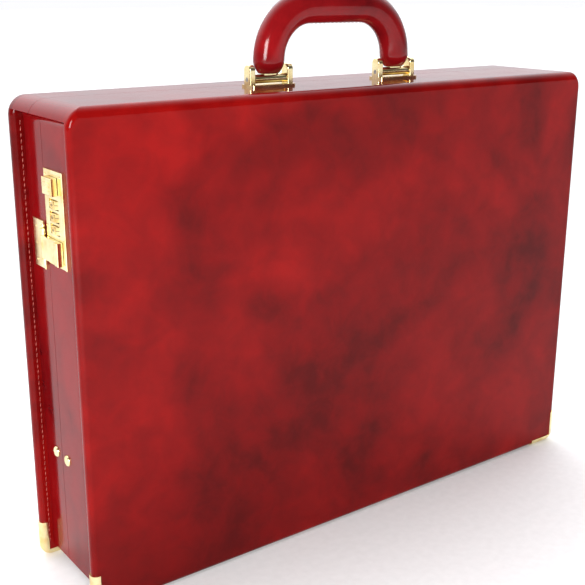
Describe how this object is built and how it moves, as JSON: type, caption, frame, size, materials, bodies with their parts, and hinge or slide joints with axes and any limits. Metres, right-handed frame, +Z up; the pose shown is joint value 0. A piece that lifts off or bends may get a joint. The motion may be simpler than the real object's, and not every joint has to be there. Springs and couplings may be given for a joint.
{
  "type": "leather briefcase",
  "caption": "Hard-sided leather attache case standing on its hinge side, with a padded handle, combination locks with hasps in the side walls, folding lid stays and metal bottom corners.",
  "frame": {"origin": "centre of the footprint, on the plane the metal corners stand on", "axes": "+Z up through the handle, +X along the length towards the right-hand lock as seen from the deep base panel, +Y from the base panel towards the lid"},
  "size_m": [0.4516, 0.0936, 0.3908],
  "materials": {
    "panel_leather": "glossy antiqued burgundy cowhide",
    "wall_leather": "glossy antiqued burgundy cowhide",
    "grip_leather": "glossy burgundy, padded",
    "board": "bare plywood, covered",
    "lining": "brown suedette",
    "organiser_leather": "smooth brown",
    "rim": "anodised pale gold",
    "brass": "polished",
    "steel": "nickel plated",
    "dials": "polished with engraved numbers",
    "core": "moulded nylon",
    "springs": "spring steel"
  },
  "bodies": {
    "base": {"base_panel_board": "board", "base_panel_leather": "panel_leather", "base_frame": "board", "base_wall_leather": "wall_leather", "base_lining": "lining", "base_rim_strip": "rim", "handle_pins": "steel", "handle_backplate": "steel", "hinge_leaf_base": "brass", "hinge_pin": "steel", "hinge_screws_base": "brass", "stay_rivets_base": "brass", "corner_base_left": "brass", "handle_bracket_left": "brass", "lock_plate_left": "brass", "lock_box_left": "steel", "dial_shaft_left": "steel", "button_spring_left": "springs", "corner_base_right": "brass", "handle_bracket_right": "brass", "lock_plate_right": "brass", "lock_box_right": "steel", "dial_shaft_right": "steel", "button_spring_right": "springs"},
    "lid": {"lid_panel_board": "board", "lid_panel_leather": "panel_leather", "lid_frame": "board", "lid_wall_leather": "wall_leather", "lid_lining": "lining", "hasp_pins": "brass", "hinge_leaf_lid": "brass", "hinge_screws_lid": "brass", "stay_rivets_lid": "brass", "organiser_board": "organiser_leather", "file_pocket": "organiser_leather", "card_pockets": "organiser_leather", "corner_lid_left": "brass", "hasp_base_left": "brass", "corner_lid_right": "brass", "hasp_base_right": "brass"},
    "handle": {"handle_grip": "grip_leather", "handle_core": "core", "handle_eye_left": "brass", "handle_eye_right": "brass"},
    "hasp_flap_left": {"hasp_flap_left": "brass"},
    "stay_arm_base_left": {"stay_arm_base_left": "brass"},
    "stay_arm_lid_left": {"stay_arm_lid_left": "brass"},
    "lock_button_left": {"lock_button_left": "brass"},
    "dial_left_1": {"dial_left_1": "dials"},
    "dial_left_2": {"dial_left_2": "dials"},
    "dial_left_3": {"dial_left_3": "dials"},
    "hasp_flap_right": {"hasp_flap_right": "brass"},
    "stay_arm_base_right": {"stay_arm_base_right": "brass"},
    "stay_arm_lid_right": {"stay_arm_lid_right": "brass"},
    "lock_button_right": {"lock_button_right": "brass"},
    "dial_right_1": {"dial_right_1": "dials"},
    "dial_right_2": {"dial_right_2": "dials"},
    "dial_right_3": {"dial_right_3": "dials"}
  },
  "joints": [
    {"name": "lid_hinge", "type": "hinge", "parent": "base", "child": "lid", "pos_m": [0, 0.0115, 0.0068], "axis": [-1, 0, 0], "range_deg": [0, 80]},
    {"name": "handle_pivot", "type": "hinge", "parent": "base", "child": "handle", "pos_m": [0, -0.004, 0.332], "axis": [1, 0, 0], "range_deg": [-68, 68]},
    {"name": "stay_base_pivot_left", "type": "hinge", "parent": "base", "child": "stay_arm_base_left", "pos_m": [-0.20755, 0.0027, 0.088], "axis": [-1, 0, 0], "range_deg": [0, 80]},
    {"name": "stay_lid_pivot_left", "type": "hinge", "parent": "lid", "child": "stay_arm_lid_left", "pos_m": [-0.20555, 0.0203, 0.088], "axis": [-1, 0, 0], "range_deg": [-80, 0]},
    {"name": "hasp_pivot_left", "type": "hinge", "parent": "lid", "child": "hasp_flap_left", "pos_m": [-0.2194, 0.012, 0.2342], "axis": [0, 0, -1], "range_deg": [0, 150]},
    {"name": "button_slide_left", "type": "slide", "parent": "base", "child": "lock_button_left", "axis": [0, 0, 1], "range_m": [0, 0.0025], "stiffness_N_per_m": 400, "springref_m": -0.001, "deforming": ["button_spring_left"]},
    {"name": "dial_turn_left_1", "type": "hinge", "parent": "base", "child": "dial_left_1", "pos_m": [-0.2129, -0.005, 0.248], "axis": [0, 0, 1], "continuous": true},
    {"name": "dial_turn_left_2", "type": "hinge", "parent": "base", "child": "dial_left_2", "pos_m": [-0.2129, -0.005, 0.256], "axis": [0, 0, 1], "continuous": true},
    {"name": "dial_turn_left_3", "type": "hinge", "parent": "base", "child": "dial_left_3", "pos_m": [-0.2129, -0.005, 0.264], "axis": [0, 0, 1], "continuous": true},
    {"name": "stay_base_pivot_right", "type": "hinge", "parent": "base", "child": "stay_arm_base_right", "pos_m": [0.20755, 0.0027, 0.088], "axis": [-1, 0, 0], "range_deg": [0, 80]},
    {"name": "stay_lid_pivot_right", "type": "hinge", "parent": "lid", "child": "stay_arm_lid_right", "pos_m": [0.20555, 0.0203, 0.088], "axis": [-1, 0, 0], "range_deg": [-80, 0]},
    {"name": "hasp_pivot_right", "type": "hinge", "parent": "lid", "child": "hasp_flap_right", "pos_m": [0.2194, 0.012, 0.2342], "axis": [0, 0, 1], "range_deg": [0, 150]},
    {"name": "button_slide_right", "type": "slide", "parent": "base", "child": "lock_button_right", "axis": [0, 0, 1], "range_m": [0, 0.0025], "stiffness_N_per_m": 400, "springref_m": -0.001, "deforming": ["button_spring_right"]},
    {"name": "dial_turn_right_1", "type": "hinge", "parent": "base", "child": "dial_right_1", "pos_m": [0.2129, -0.005, 0.248], "axis": [0, 0, 1], "continuous": true},
    {"name": "dial_turn_right_2", "type": "hinge", "parent": "base", "child": "dial_right_2", "pos_m": [0.2129, -0.005, 0.256], "axis": [0, 0, 1], "continuous": true},
    {"name": "dial_turn_right_3", "type": "hinge", "parent": "base", "child": "dial_right_3", "pos_m": [0.2129, -0.005, 0.264], "axis": [0, 0, 1], "continuous": true}
  ],
  "couplings": [
    {"joint": "stay_base_pivot_left", "follows": "lid_hinge", "ratio": 1},
    {"joint": "stay_lid_pivot_left", "follows": "lid_hinge", "ratio": -1},
    {"joint": "stay_base_pivot_right", "follows": "lid_hinge", "ratio": 1},
    {"joint": "stay_lid_pivot_right", "follows": "lid_hinge", "ratio": -1}
  ]
}
